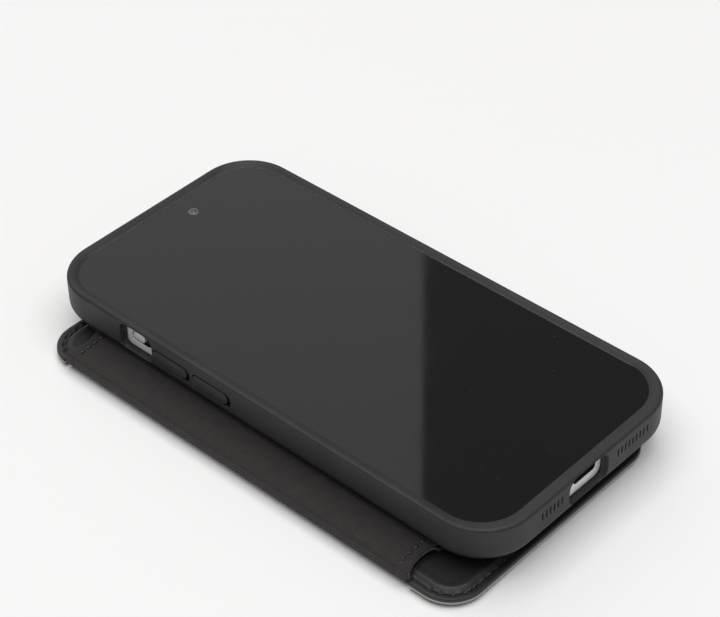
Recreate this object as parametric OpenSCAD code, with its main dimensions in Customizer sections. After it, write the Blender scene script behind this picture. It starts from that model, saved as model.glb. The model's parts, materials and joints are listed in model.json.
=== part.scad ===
// Phone wallet case: a soft bumper shell on a folding leather cover with card pockets.
// The cover is folded right back underneath the shell, and the shell holds a plain phone.
// Units are millimetres. The origin lies on the resting plane under the middle of the
// phone, +X points to the right side of the phone, +Y to its top end and +Z up out of
// its glass. The spine and the cover are drawn closed over the glass, and then placed
// folded back, which is the rest pose. A narrow crease band joins the spine to the cover.

/* [Phone] */
// Width of the phone that the shell fits
phone_w = 71.6; // [70:0.2:73]
// Length of the phone
phone_l = 147.6; // [146:0.2:149]
// Thickness of the phone
phone_t = 7.8; // [7.4:0.1:8.4]
// Radius of the corners of the phone
phone_r = 12.5; // [11.5:0.1:13.5]
// How far the glass stops short of the outline of the phone
glass_inset = 0.6; // [0.4:0.1:0.8]
// Thickness of the front and the back glass
glass_t = 0.8; // [0.5:0.1:1]

/* [Shell] */
// Clearance between the phone and the shell
phone_gap = 0.1; // [0.06:0.01:0.15]
// Thickness of the side walls
wall_t = 2; // [1.8:0.1:2.2]
// Thickness of the floor
floor_t = 1.6; // [1.4:0.1:1.8]
// Thickness of the microfibre lining on the floor
lining_t = 0.4; // [0.3:0.1:0.5]
// Height of the rim above the glass
rim_rise = 0.85; // [0.6:0.05:1]
// Rounding of the top edge
rim_round = 0.9; // [0.6:0.1:1]
// Rounding of the bottom edge
base_round = 3.3; // [2.6:0.1:3.4]

/* [Buttons] */
// Length of each volume button
volume_l = 12.3; // [11:0.1:12.6]
// Middle of the upper volume button
volume_up_y = 28.8; // [28.6:0.1:29]
// Middle of the lower volume button
volume_down_y = 14.4; // [14:0.1:15]
// Length of the power button
power_l = 18; // [15:0.5:20]
// Middle of the power button
power_y = 22; // [20:0.5:25]
// Height of all the buttons
button_h = 3.4; // [3:0.1:3.8]
// Clearance round each button
button_gap = 0.12; // [0.08:0.01:0.2]
// How far the buttons stand proud of the wall
button_proud = 0.15; // [0.1:0.01:0.18]

/* [Openings] */
// Length of the window over the mute switch
switch_window_l = 10.6; // [9:0.1:11]
// Height of the window over the mute switch
switch_window_h = 6.5; // [5.4:0.1:6.5]
// Width of the window over the charging port
port_window_w = 13.8; // [12:0.1:14.5]
// Height of the window over the charging port
port_window_h = 6.7; // [5.8:0.1:6.7]
// Distance between speaker slots
slot_pitch = 1.45; // [1.3:0.05:1.6]
// Width of the camera window
camera_w = 26; // [24.6:0.2:27]
// Length of the camera window
camera_l = 38; // [36.6:0.2:39]
// Width of the guard ring round the camera window
guard_t = 2; // [1.6:0.1:2.4]

/* [Back panel] */
// Thickness of the leather
leather_t = 0.9; // [0.7:0.1:1]
// Thickness of the board behind the leather
board_t = 2.1; // [1.6:0.1:2.2]
// Thickness of the adhesive sheet
bond_t = 0.3; // [0.2:0.1:0.4]
// Thickness of the steel sheet that the magnets hold
steel_t = 0.6; // [0.5:0.1:0.8]

/* [Cover] */
// Width of the cover
cover_w = 77.3; // [76:0.1:78]
// Length of the cover
cover_l = 142.2; // [140:0.2:146]
// Radius of the corners of the cover
cover_r = 9.6; // [8:0.1:11]
// How far the cover sits towards the bottom end of the phone
cover_shift = 2.7; // [0:0.1:3]
// Thickness of the stiffener between the leather and the lining
core_t = 0.6; // [0.6:0.1:0.8]
// Thickness of the lining and of each pocket sheet
sheet_t = 0.3; // [0.3:0.05:0.5]
// Height of the padded field above the sewn border
pad_rise = 0.5; // [0.3:0.1:0.6]
// Width of the sewn border round the padded field
border_w = 4.6; // [4:0.1:5.5]

/* [Spine] */
// Half length of the spine strip at its waist
spine_half = 57.6; // [56:0.1:58]
// Thickness of the ribbed fabric on the inside of the spine
fabric_t = 0.45; // [0.4:0.05:0.6]
// Gap between the closed spine and the side wall of the shell
spine_gap = 0.35; // [0.3:0.05:0.5]
// Width of the crease band between the spine and the cover
crease_w = 1.4; // [1.3:0.1:1.8]

/* [Stitches] */
// Length of one stitch
stitch_l = 1.9; // [1.5:0.1:2.2]
// Width of one stitch
stitch_w = 0.45; // [0.3:0.05:0.6]
// Distance between stitches
stitch_pitch = 2.7; // [2.5:0.1:3.5]
// Distance of the stitches from the cut edge
stitch_inset = 2.2; // [1.8:0.1:2.5]

/* [Hidden] */

// Smoothness of the plain round shapes, and of the slices that are blended together
fine = 64;
blend_fine = 32;
slice = 0.05;

// How far a cutting shape runs past what it cuts
past = 1;

// Heights of the layers, from the resting plane up
cover_t = 4 * sheet_t + core_t + leather_t;
stack_gap = 0.1;
panel_z = cover_t + pad_rise + stack_gap;
shell_z = panel_z + leather_t + board_t + bond_t;
seat_z = shell_z + floor_t + lining_t;
phone_z = seat_z + 0.05;
glass_z = phone_z + phone_t;
rim_z = glass_z + rim_rise;
port_z = phone_z + phone_t / 2;
shell_h = rim_z - shell_z;

// Plan sizes of the shell
cavity_w = phone_w + 2 * phone_gap;
cavity_l = phone_l + 2 * phone_gap;
cavity_r = phone_r + phone_gap;
shell_w = cavity_w + 2 * wall_t;
shell_l = cavity_l + 2 * wall_t;
shell_r = cavity_r + wall_t;

// Side buttons: the plug ends short of the phone, which leaves room for its travel
button_z = rim_z - 4.9;
button_r = 1.6;
button_back = 0.45;
button_t = wall_t - button_back + button_proud;

// Windows in the walls
switch_y = 41.2;
switch_z = rim_z - 4.9;
switch_window_r = 1.6;
port_x = -0.9;
port_window_z = rim_z - 4.8;
port_window_r = 2.4;
slot_z = rim_z - 3.8;
slot_w = 0.7;
slot_h = 2.6;
slot_r = 0.3;
slots_left = 6;
slots_left_x = -14.9;
slots_right = 9;
slots_right_x = 16.2;

// Camera window, at the top right corner of the phone
camera_x = phone_w / 2 - 4 - (camera_w - 2) / 2 - 0.4;
camera_y = phone_l / 2 - 4 - (camera_l - 2) / 2;
camera_r = 7;
guard_z = panel_z + 0.1;

// Back panel
panel_left = -35.2;
panel_right = 33.6;
panel_w = panel_right - panel_left;
panel_x = (panel_right + panel_left) / 2;
panel_y = 2;
panel_l = 140;
panel_r = 13;
panel_gap = 0.4;
board_inset = 0.6;
bond_inset = 1.2;
steel_y = -22;
steel_w = 60;
steel_l = 92;
steel_r = 5;

// Magnets along the free edge of the cover, and opposite them in the right wall
magnet_y = [-45, -12, 48];
magnet_l = 22;
magnet_w = 3.5;
magnet_t = 0.5;
wall_magnet_h = 4;
wall_magnet_t = 0.9;
fit_gap = 0.1;

// Spine, closed: upright beside the left wall. It turns about pivot A near the bottom
// edge of the shell. The crease turns on it about pivot B, and the cover turns on the
// crease about pivot C. B and C lie on the outer leather face, one at each crease edge.
spine_in_x = -shell_w / 2 - spine_gap;
spine_t = fabric_t + leather_t;
spine_out_x = spine_in_x - spine_t;
pivot_reach = 2.55;
pivot_x = spine_in_x + pivot_reach;
pivot_z = shell_z - 0.37 + pivot_reach;
closed_gap = 0.3;
cover_z = rim_z + closed_gap;
cover_top_z = cover_z + cover_t;
crease_run = crease_w * sin(45);
crease_z = cover_top_z - crease_run;
hinge_x = spine_out_x + crease_run;

// Folded back: the crease hangs straight down, with pivot C level with the leather face
// of the cover lying underneath
fold_out = pivot_x - spine_out_x;
fold_up = crease_z - pivot_z;
fold_drop = pivot_z - cover_t - crease_w;
spine_tilt = atan2(fold_up, fold_out) - acos(fold_drop / norm([fold_out, fold_up]));
crease_rest_x = pivot_x + fold_out * sin(spine_tilt) - fold_up * cos(spine_tilt);
crease_rest_z = cover_t + crease_w;
crease_turn = 225;

// Cover, closed: over the glass, hinged side to the left. Its corners reach as far out as
// the folded crease does.
cover_left = hinge_x - spine_t;
cover_x = cover_left + cover_w / 2;
pocket_lip_x = [-26, -17, -8];
mitre = 0.65;
spine_top_z = crease_z - mitre;
spine_room = 59.6;
notch_r = 11;
notch_depth = 1.7;
stitch_h = 0.2;
spine_stitch_h = 0.15;
spine_row_margin = 1.2;

// Phone details: the sockets, the front camera and the cameras on the back
front_camera = [7.7, 66.3];
front_camera_r = 1.6;
earpiece_w = 12;
earpiece_h = 0.5;
edge_step = 0.4;
socket_z = port_z + 0.35;
socket_w = 8.2;
socket_h = 2;
tongue_w = 6.4;
tongue_h = 0.8;
switch_recess_l = 7;
switch_recess_h = 2.8;
switch_l = 4.4;
grille_r = 0.8;
grille_pitch = 2.4;
grille_start = 9.5;
plateau_t = 1.6;
lens_r = 6;
lens_t = 1.8;
lens_x = -3;
lens_reach = 8;
flash_x = 8;
flash_r = 2;
flash_t = 0.3;

shell_colour = [0.17, 0.17, 0.18];
leather_colour = [0.14, 0.14, 0.15];
fabric_colour = [0.24, 0.21, 0.2];
lining_colour = [0.1, 0.1, 0.11];
core_colour = [0.72, 0.72, 0.7];
thread_colour = [0.05, 0.05, 0.06];
metal_colour = [0.75, 0.76, 0.78];
glass_colour = [0.05, 0.05, 0.06];

// Rounded rectangle about the origin
module plate(w, l, r, sides = fine) {
  square([w - 2 * r, l], center = true);
  square([w, l - 2 * r], center = true);
  for (x = [-1, 1], y = [-1, 1])
    translate([x * (w / 2 - r), y * (l / 2 - r)]) circle(r, $fn = sides);
}

// Flat slab with square edges, standing on z
module slab(w, l, r, z, h) {
  translate([0, 0, z]) linear_extrude(h) plate(w, l, r);
}

// Slab whose bottom and top edges are rounded, blended from thin slices
module soft_slab(w, l, r, z, h, low_r, high_r) {
  steps = 4;
  hull() {
    for (i = [0 : steps]) {
      a = 90 * i / steps;
      low_in = low_r * (1 - sin(a));
      high_in = high_r * (1 - sin(a));
      translate([0, 0, z + low_r * (1 - cos(a))]) linear_extrude(slice)
        plate(w - 2 * low_in, l - 2 * low_in, r - low_in, blend_fine);
      translate([0, 0, z + h - high_r * (1 - cos(a)) - slice]) linear_extrude(slice)
        plate(w - 2 * high_in, l - 2 * high_in, r - high_in, blend_fine);
    }
  }
}

// Round-ended bar that runs along X: l is its length along Y and h its height
module bar_along_x(x, t, y, z, l, h, r) {
  translate([x, y, z]) rotate([0, 90, 0]) linear_extrude(t) plate(h, l, r);
}

// Round-ended bar that runs along Y: w is its width along X and h its height
module bar_along_y(y, t, x, z, w, h, r) {
  translate([x, y, z]) rotate([-90, 0, 0]) linear_extrude(t) plate(w, h, r);
}

// Sheet that stands upright and is t thick along X; its outline is drawn in Y and Z
module upright(x, t) {
  translate([x, 0, 0]) rotate([90, 0, 90]) linear_extrude(t) children();
}

// Puts what is drawn closed into the folded-back rest pose
module spine_folded_back() {
  translate([pivot_x, 0, pivot_z]) rotate([0, -90 - spine_tilt, 0])
    translate([-pivot_x, 0, -pivot_z]) children();
}

module crease_folded_back() {
  translate([crease_rest_x, 0, crease_rest_z]) rotate([0, -crease_turn, 0])
    translate([-spine_out_x, 0, -crease_z]) children();
}

module cover_folded_back() {
  translate([crease_rest_x - hinge_x, 0, cover_t - cover_top_z]) children();
}

// ---- Shell ----

module speaker_slots(count, x) {
  for (i = [0 : count - 1])
    bar_along_y(-shell_l / 2 - past, wall_t + 2 * past, x + (i - (count - 1) / 2) * slot_pitch,
                slot_z, slot_w, slot_h, slot_r);
}

module button_hole(side, y, l) {
  bar_along_x(side > 0 ? cavity_w / 2 - past : -shell_w / 2 - past, wall_t + 2 * past, y,
              button_z, l + 2 * button_gap, button_h + 2 * button_gap, button_r);
}

module camera_hole(margin, z, h) {
  translate([camera_x, camera_y, 0])
    slab(camera_w + 2 * margin, camera_l + 2 * margin, camera_r + margin, z, h);
}

module phone_shell() {
  color(shell_colour) difference() {
    soft_slab(shell_w, shell_l, shell_r, shell_z, shell_h, base_round, rim_round);
    slab(cavity_w, cavity_l, cavity_r, shell_z + floor_t, shell_h);
    camera_hole(0, shell_z - past, floor_t + 2 * past);
    button_hole(-1, volume_up_y, volume_l);
    button_hole(-1, volume_down_y, volume_l);
    button_hole(1, power_y, power_l);
    bar_along_x(-shell_w / 2 - past, wall_t + 2 * past, switch_y, switch_z,
                switch_window_l, switch_window_h, switch_window_r);
    bar_along_y(-shell_l / 2 - past, wall_t + 2 * past, port_x, port_window_z,
                port_window_w, port_window_h, port_window_r);
    speaker_slots(slots_left, slots_left_x);
    speaker_slots(slots_right, slots_right_x);
    for (y = magnet_y) wall_magnet(y, 0.05);
  }
}

module shell_lining() {
  color(lining_colour) difference() {
    slab(cavity_w - 0.4, cavity_l - 0.4, cavity_r - 0.2, shell_z + floor_t, lining_t);
    camera_hole(0.3, shell_z + floor_t - past, lining_t + 2 * past);
  }
}

module camera_guard() {
  color(shell_colour) difference() {
    camera_hole(guard_t, guard_z, shell_z - guard_z);
    camera_hole(0, guard_z - past, shell_z - guard_z + 2 * past);
  }
}

module wall_magnet(y, margin) {
  bar_along_x(cavity_w / 2 - margin, wall_magnet_t + 2 * margin, y, port_z,
              magnet_l + 2 * margin, wall_magnet_h + 2 * margin, 0.8);
}

module shell_magnets() {
  color(metal_colour) for (y = magnet_y) wall_magnet(y, 0);
}

module left_button(y, l) {
  color(shell_colour)
    bar_along_x(-shell_w / 2 - button_proud, button_t, y, button_z, l, button_h, button_r);
}

module power_button() {
  color(shell_colour)
    bar_along_x(shell_w / 2 + button_proud - button_t, button_t, power_y, button_z,
                power_l, button_h, button_r);
}

// ---- Back panel ----

module panel_sheet(inset, z, h) {
  difference() {
    translate([panel_x, panel_y, 0])
      slab(panel_w - 2 * inset, panel_l - 2 * inset, panel_r - inset, z, h);
    camera_hole(guard_t + panel_gap + inset, z - past, h + 2 * past);
  }
}

module steel_outline(margin, z, h) {
  translate([0, steel_y, 0])
    slab(steel_w + 2 * margin, steel_l + 2 * margin, steel_r + margin, z, h);
}

module back_adhesive() {
  color(core_colour) panel_sheet(bond_inset, shell_z - bond_t, bond_t);
}

module back_board() {
  color(core_colour) difference() {
    panel_sheet(board_inset, panel_z + leather_t, board_t);
    steel_outline(fit_gap, panel_z + leather_t - past, steel_t + past);
  }
}

module back_steel_sheet() {
  color(metal_colour) steel_outline(0, panel_z + leather_t, steel_t);
}

module back_leather() {
  color(leather_colour) panel_sheet(0, panel_z, leather_t);
}

// ---- Spine ----

// Outline of the strip in Y and Z, with a curved notch at each end
module spine_outline() {
  flare = spine_half + notch_depth;
  waist_z = (pivot_z + spine_top_z) / 2 - 0.5;
  difference() {
    translate([-flare, pivot_z]) square([2 * flare, spine_top_z - pivot_z]);
    for (side = [-1, 1])
      translate([side * (spine_half + notch_r), waist_z]) circle(notch_r, $fn = fine);
  }
}

module spine_leather() {
  color(leather_colour) spine_folded_back() upright(spine_out_x, leather_t) spine_outline();
}

module spine_fabric() {
  color(fabric_colour) spine_folded_back()
    upright(spine_out_x + leather_t, fabric_t) spine_outline();
}

module spine_stitching() {
  row_l = spine_top_z - pivot_z - 2 * spine_row_margin;
  count = floor(row_l / stitch_pitch) + 1;
  first_z = pivot_z + spine_row_margin;
  color(thread_colour) spine_folded_back()
    for (side = [-1, 1], i = [0 : count - 1])
      translate([spine_in_x, side * (spine_half - stitch_inset) - stitch_w / 2,
                 first_z + i * stitch_pitch])
        cube([spine_stitch_h, stitch_w, stitch_l]);
}

// ---- Crease ----

// Ply of the crease band from depth low to depth high below the leather face, with its
// ends mitred towards the fabric side
module crease_ply(low, high) {
  slope = tan(22.5);
  half_l = spine_half + notch_depth;
  end_gap = 0.1;
  translate([spine_out_x, half_l, crease_z]) rotate([90, 0, 0]) rotate([0, 0, 45])
    linear_extrude(2 * half_l) polygon([
      [end_gap + slope * low, -low],
      [crease_w - end_gap - slope * low, -low],
      [crease_w - end_gap - slope * high, -high],
      [end_gap + slope * high, -high]
    ]);
}

module crease_leather() {
  color(leather_colour) crease_folded_back() crease_ply(0, leather_t * 0.6);
}

module crease_fabric() {
  color(fabric_colour) crease_folded_back()
    crease_ply(leather_t * 0.6, leather_t * 0.6 + fabric_t);
}

// ---- Cover ----

// Sheet with the outline of the cover, which leaves room for the spine and the crease
module cover_sheet(z, h, keep_from = -100) {
  difference() {
    translate([cover_x, -cover_shift, 0]) slab(cover_w, cover_l, cover_r, z, h);
    translate([keep_from - 200, -100, z - 1]) cube([200, 200, h + 2]);
    translate([-100, -spine_room, z - 1])
      cube([100 + hinge_x + mitre + 0.1, 2 * spine_room, h + 2]);
  }
}

module cover_leather() {
  color(leather_colour) cover_folded_back() {
    cover_sheet(cover_top_z - leather_t, leather_t);
    translate([cover_x, -cover_shift, 0])
      soft_slab(cover_w - 2 * border_w, cover_l - 2 * border_w, cover_r - border_w + 1,
                cover_top_z - 0.2, pad_rise + 0.2, 0, pad_rise);
  }
}

module magnet_bars(margin) {
  core_z = cover_z + 4 * sheet_t;
  for (y = magnet_y)
    translate([cover_x + cover_w / 2 - stitch_inset - 2.2, y, 0])
      slab(magnet_w + 2 * margin, magnet_l + 2 * margin, 0.6, core_z, magnet_t);
}

module cover_core() {
  color(core_colour) cover_folded_back() difference() {
    cover_sheet(cover_z + 4 * sheet_t, core_t);
    magnet_bars(fit_gap);
  }
}

module cover_magnets() {
  color(metal_colour) cover_folded_back() magnet_bars(0);
}

module cover_lining() {
  color(lining_colour) cover_folded_back()
    cover_sheet(cover_z + 3 * sheet_t, sheet_t);
}

// Pocket sheets, each one lower and with its mouth nearer to the free edge
module pocket(i) {
  color(lining_colour) cover_folded_back()
    cover_sheet(cover_z + (2 - i) * sheet_t, sheet_t, pocket_lip_x[i]);
}

module stitch(x, y, turn) {
  translate([cover_x + x, y - cover_shift, cover_top_z]) rotate([0, 0, turn])
    translate([-stitch_l / 2, -stitch_w / 2, 0]) cube([stitch_l, stitch_w, stitch_h]);
}

// Row of stitches round the cover, which leaves out the fold where the spine begins
module cover_stitching() {
  half_w = cover_w / 2 - stitch_inset;
  half_l = cover_l / 2 - stitch_inset;
  r = cover_r - stitch_inset;
  long_count = floor((half_l - r) * 2 / stitch_pitch);
  short_count = floor((half_w - r) * 2 / stitch_pitch);
  corner_count = 5;
  color(thread_colour) cover_folded_back() {
    for (i = [0 : long_count])
      stitch(half_w, ((i / long_count) * 2 - 1) * (half_l - r), 90);
    for (end = [-1, 1], i = [0 : short_count])
      stitch(((i / short_count) * 2 - 1) * (half_w - r), end * half_l, 0);
    for (sx = [-1, 1], sy = [-1, 1], i = [0.5 : corner_count - 1]) {
      a = 90 * i / (corner_count - 1);
      stitch(sx * (half_w - r + r * sin(a)), sy * (half_l - r + r * cos(a)), -sx * sy * a);
    }
  }
}

// ---- Phone ----

module glass_pane(z) {
  slab(phone_w - 2 * glass_inset, phone_l - 2 * glass_inset, phone_r - glass_inset, z, glass_t);
}

module earpiece_slit(h) {
  translate([0, phone_l / 2 - glass_inset - 0.55, 0])
    slab(earpiece_w, earpiece_h, 0.2, glass_z - h, h);
}

module phone_frame() {
  color(metal_colour) difference() {
    union() {
      slab(phone_w, phone_l, phone_r, phone_z + edge_step, phone_t - 2 * edge_step);
      slab(phone_w - 2 * edge_step, phone_l - 2 * edge_step, phone_r - edge_step,
           phone_z, phone_t);
    }
    glass_pane(glass_z - glass_t);
    glass_pane(phone_z);
    bar_along_y(-phone_l / 2 - past, 6 + past, 0, socket_z, socket_w, socket_h, 0.9);
    bar_along_x(-phone_w / 2 - past, 0.8 + past, switch_y, port_z,
                switch_recess_l, switch_recess_h, 1.3);
    for (side = [-1, 1], i = [0 : 4])
      translate([side * (grille_start + i * grille_pitch), -phone_l / 2 - past, port_z])
        rotate([-90, 0, 0]) cylinder(h = 1.5 + past, r = grille_r, $fn = 24);
  }
}

module phone_front_glass() {
  color(glass_colour) difference() {
    glass_pane(glass_z - glass_t);
    translate([front_camera[0], front_camera[1], glass_z - glass_t - past])
      cylinder(h = glass_t + 2 * past, r = front_camera_r, $fn = fine);
    earpiece_slit(glass_t);
  }
}

module phone_back_glass() {
  color(glass_colour) glass_pane(phone_z);
}

module phone_front_camera() {
  color([0.2, 0.2, 0.24]) translate([front_camera[0], front_camera[1], glass_z - glass_t])
    cylinder(h = glass_t, r = front_camera_r - 0.02, $fn = fine);
}

module phone_earpiece() {
  color(metal_colour) earpiece_slit(glass_t);
}

module phone_port() {
  color([0.1, 0.1, 0.1])
    bar_along_y(-phone_l / 2 + 1.2, 4.6, 0, socket_z, tongue_w, tongue_h, 0.3);
}

module phone_mute_switch() {
  color(metal_colour)
    bar_along_x(-phone_w / 2 + 0.1, 0.7, switch_y + 1.1, port_z, switch_l, 2.4, 1.1);
}

module phone_camera_plateau() {
  color(glass_colour) translate([camera_x, camera_y, 0])
    slab(camera_w - 2, camera_l - 2, camera_r - 1, phone_z - plateau_t, plateau_t);
}

module phone_camera_lenses() {
  color(metal_colour) for (y = [-lens_reach, lens_reach])
    translate([camera_x + lens_x, camera_y + y, phone_z - plateau_t - lens_t])
      cylinder(h = lens_t, r = lens_r, $fn = fine);
}

module phone_flash() {
  color([0.95, 0.93, 0.8]) translate([camera_x + flash_x, camera_y, phone_z - plateau_t - flash_t])
    cylinder(h = flash_t, r = flash_r, $fn = fine);
}

phone_shell();
shell_lining();
camera_guard();
shell_magnets();
left_button(volume_up_y, volume_l);  // volume_up_button
left_button(volume_down_y, volume_l);  // volume_down_button
power_button();
back_adhesive();
back_board();
back_steel_sheet();
back_leather();
spine_leather();
spine_fabric();
spine_stitching();
crease_leather();
crease_fabric();
cover_leather();
cover_core();
cover_lining();
cover_magnets();
cover_stitching();
pocket(0);  // pocket_back
pocket(1);  // pocket_middle
pocket(2);  // pocket_front
phone_frame();
phone_front_glass();
phone_back_glass();
phone_front_camera();
phone_earpiece();
phone_port();
phone_mute_switch();
phone_camera_plateau();
phone_camera_lenses();
phone_flash();
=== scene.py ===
"""Looks of a phone wallet case whose cover is folded right back underneath it.

Shapes are worked out in millimetres in the frame of the CAD model, and become metres
when a mesh is made. The frame's own boxes and joints give the places.
"""

import json
import math

import bmesh
import bpy
from mathutils import Matrix, Vector


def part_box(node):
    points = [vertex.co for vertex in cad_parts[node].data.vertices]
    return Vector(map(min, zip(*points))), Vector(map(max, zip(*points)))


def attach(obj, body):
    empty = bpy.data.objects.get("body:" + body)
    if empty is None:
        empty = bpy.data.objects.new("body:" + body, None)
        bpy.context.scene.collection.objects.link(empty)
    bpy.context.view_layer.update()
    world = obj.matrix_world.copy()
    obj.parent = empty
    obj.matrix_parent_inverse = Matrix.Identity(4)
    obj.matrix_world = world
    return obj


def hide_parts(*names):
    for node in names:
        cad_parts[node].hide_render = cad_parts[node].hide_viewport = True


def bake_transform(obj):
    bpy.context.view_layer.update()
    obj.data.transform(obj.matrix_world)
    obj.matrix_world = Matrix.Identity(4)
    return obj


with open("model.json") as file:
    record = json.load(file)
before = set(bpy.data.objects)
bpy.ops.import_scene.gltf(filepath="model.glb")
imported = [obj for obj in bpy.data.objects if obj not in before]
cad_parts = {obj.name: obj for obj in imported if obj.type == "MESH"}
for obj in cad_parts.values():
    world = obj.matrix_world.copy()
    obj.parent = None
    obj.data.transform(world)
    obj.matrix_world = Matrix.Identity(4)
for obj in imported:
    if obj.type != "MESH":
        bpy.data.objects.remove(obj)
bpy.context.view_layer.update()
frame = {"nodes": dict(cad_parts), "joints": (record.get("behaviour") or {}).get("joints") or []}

# Sizes that the CAD model has too, in millimetres.
MM = 0.001
WALL = 2.0
BASE_ROUND = 3.3
RIM_ROUND = 0.9
SHELL_R = 14.6
PHONE_R = 12.5
MAGNET_L = 22
MAGNET_YS = (-45, -12, 48)
SWITCH_Y = 41.2
COVER_R = 9.6
CAMERA_R = 7.0
GUARD_T = 2.0
LEATHER_T = 0.9
FABRIC_T = 0.45
STITCH_PITCH = 2.7
STITCH_INSET = 2.2
SPINE_HALF = 57.6
NOTCH_R = 11.0
NOTCH_DEPTH = 1.7
SPINE_ROOM = 59.6


# ---- Places from the frame ----

def node_box(node):
    """Lowest and highest corner of a CAD node, in millimetres."""
    low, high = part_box(node)
    return [v / MM for v in low], [v / MM for v in high]


def pivot(joint):
    """Where a hinge's axis crosses the X-Z plane, in millimetres."""
    place = next(j["pos_m"] for j in frame["joints"] if j["name"] == joint)
    return place[0] / MM, place[2] / MM


def middle(low, high):
    return [(a + b) / 2 for a, b in zip(low, high)]


def extent(low, high):
    return [b - a for a, b in zip(low, high)]


SPINE_TILT = math.radians(
    next(j["range_deg"][1] for j in frame["joints"] if j["name"] == "spine_hinge") - 90)
PIVOT_B = pivot("crease_hinge")
PIVOT_C = pivot("cover_hinge")


# ---- Camera ----

def make_camera():
    """Looks down on the bottom left corner of the phone, with a long lens."""
    azimuth, elevation, roll = (math.radians(v) for v in (-47.152, 39.634, -0.917))
    shift_right, shift_up, distance = 1.107 * MM, 17.848 * MM, 567.268 * MM
    right = Vector((math.cos(azimuth), math.sin(azimuth), 0))
    back = Vector((math.sin(azimuth) * math.cos(elevation),
                   -math.cos(azimuth) * math.cos(elevation), math.sin(elevation)))
    up = back.cross(right)
    rolled_right = math.cos(roll) * right + math.sin(roll) * up
    rolled_up = math.cos(roll) * up - math.sin(roll) * right
    place = shift_right * rolled_right + shift_up * rolled_up + distance * back
    data = bpy.data.cameras.new("camera")
    data.lens, data.sensor_width = 109.63, 36
    data.clip_start, data.clip_end = 0.01, 50
    camera = bpy.data.objects.new("camera", data)
    bpy.context.scene.collection.objects.link(camera)
    axes = Matrix((rolled_right, rolled_up, back)).transposed()
    camera.matrix_world = Matrix.Translation(place) @ axes.to_4x4()
    bpy.context.scene.camera = camera


make_camera()


# ---- Mesh building ----

def blend_step(value, low, high):
    """0 below low, 1 above high, smooth between."""
    t = min(max((value - low) / (high - low), 0), 1)
    return t * t * (3 - 2 * t)


def rounded_outline(w, l, r, centre=(0, 0), arc=12, sides=1, ends=1):
    """Counter-clockwise points of a rounded rectangle. r is one radius, or four of them,
    from the +X +Y corner on; sides and ends say how often the straight runs are divided."""
    radii = r if isinstance(r, (tuple, list)) else (r,) * 4
    corners = []
    for k, (sx, sy) in enumerate(((1, 1), (-1, 1), (-1, -1), (1, -1))):
        cx, cy = centre[0] + sx * (w / 2 - radii[k]), centre[1] + sy * (l / 2 - radii[k])
        turns = [math.radians(90 * (k + i / arc)) for i in range(arc + 1)]
        corners.append([(cx + radii[k] * math.cos(a), cy + radii[k] * math.sin(a))
                        for a in turns])
    points = []
    for k, corner in enumerate(corners):
        points += corner
        (x0, y0), (x1, y1) = corner[-1], corners[(k + 1) % 4][0]
        parts = ends if k % 2 == 0 else sides
        points += [(x0 + (x1 - x0) * i / parts, y0 + (y1 - y0) * i / parts)
                   for i in range(1, parts)]
    return points


def at_height(outline, z):
    return [(x, y, z) for x, y in outline]


def loft(rings, closed=False):
    """Vertices and faces of a skin over rings that have the same number of points. It is
    capped at both ends, or closed runs it on from the last ring to the first."""
    n, count = len(rings[0]), len(rings)
    vertices = [p for ring in rings for p in ring]
    faces = []
    for k in range(count if closed else count - 1):
        a, b = k * n, (k + 1) % count * n
        faces += [(a + i, a + (i + 1) % n, b + (i + 1) % n, b + i) for i in range(n)]
    if not closed:
        faces.append(tuple(reversed(range(n))))
        faces.append(tuple(range((count - 1) * n, count * n)))
    return vertices, faces


def joined(*meshes):
    """One list of vertices and faces out of several."""
    vertices, faces = [], []
    for more_vertices, more_faces in meshes:
        start = len(vertices)
        vertices += more_vertices
        faces += [tuple(start + i for i in face) for face in more_faces]
    return vertices, faces


def make_object(name, mesh_lists, materials=(), uv=None, sharp=38):
    """A Blender object from vertices in millimetres. uv gives a flat place for each vertex,
    in millimetres as well."""
    vertices, faces = mesh_lists
    mesh = bpy.data.meshes.new(name)
    mesh.from_pydata([[c * MM for c in v] for v in vertices], [], faces)
    if uv is not None:
        layer = mesh.uv_layers.new(name="flat")
        for loop in mesh.loops:
            layer.data[loop.index].uv = [c * MM for c in uv[loop.vertex_index]]
    edit = bmesh.new()
    edit.from_mesh(mesh)
    bmesh.ops.recalc_face_normals(edit, faces=edit.faces)
    edit.to_mesh(mesh)
    edit.free()
    smooth(mesh, sharp)
    obj = bpy.data.objects.new(name, mesh)
    bpy.context.scene.collection.objects.link(obj)
    for material in materials:
        mesh.materials.append(material)
    return obj


def smooth(mesh, sharp=38):
    mesh.shade_smooth()
    mesh.set_sharp_from_angle(angle=math.radians(sharp))


def cut(obj, cutters):
    """Takes the cutters, a mesh of separate closed shapes, out of obj."""
    tool = make_object("cutter", cutters)
    modifier = obj.modifiers.new("cut", "BOOLEAN")
    modifier.operation, modifier.solver, modifier.object = "DIFFERENCE", "EXACT", tool
    evaluated = obj.evaluated_get(bpy.context.evaluated_depsgraph_get())
    mesh = bpy.data.meshes.new_from_object(evaluated)
    obj.modifiers.clear()
    old, obj.data = obj.data, mesh
    bpy.data.meshes.remove(old)
    bpy.data.objects.remove(tool)
    mesh.name = obj.name
    smooth(mesh)
    even = obj.modifiers.new("even_shading", "WEIGHTED_NORMAL")
    even.keep_sharp, even.weight = True, 80


def place(obj, body, slot, *replaced):
    """obj rides on a body, and may stand for CAD nodes, which it hides. slot is not used."""
    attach(obj, body)
    if replaced:
        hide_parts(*replaced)


def quarter_turn(steps):
    """Pairs of 1 - sine and 1 - cosine over a quarter turn, for the rounding of an edge."""
    turns = [math.pi / 2 * i / steps for i in range(steps + 1)]
    return [(1 - math.sin(a), 1 - math.cos(a)) for a in turns]


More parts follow.
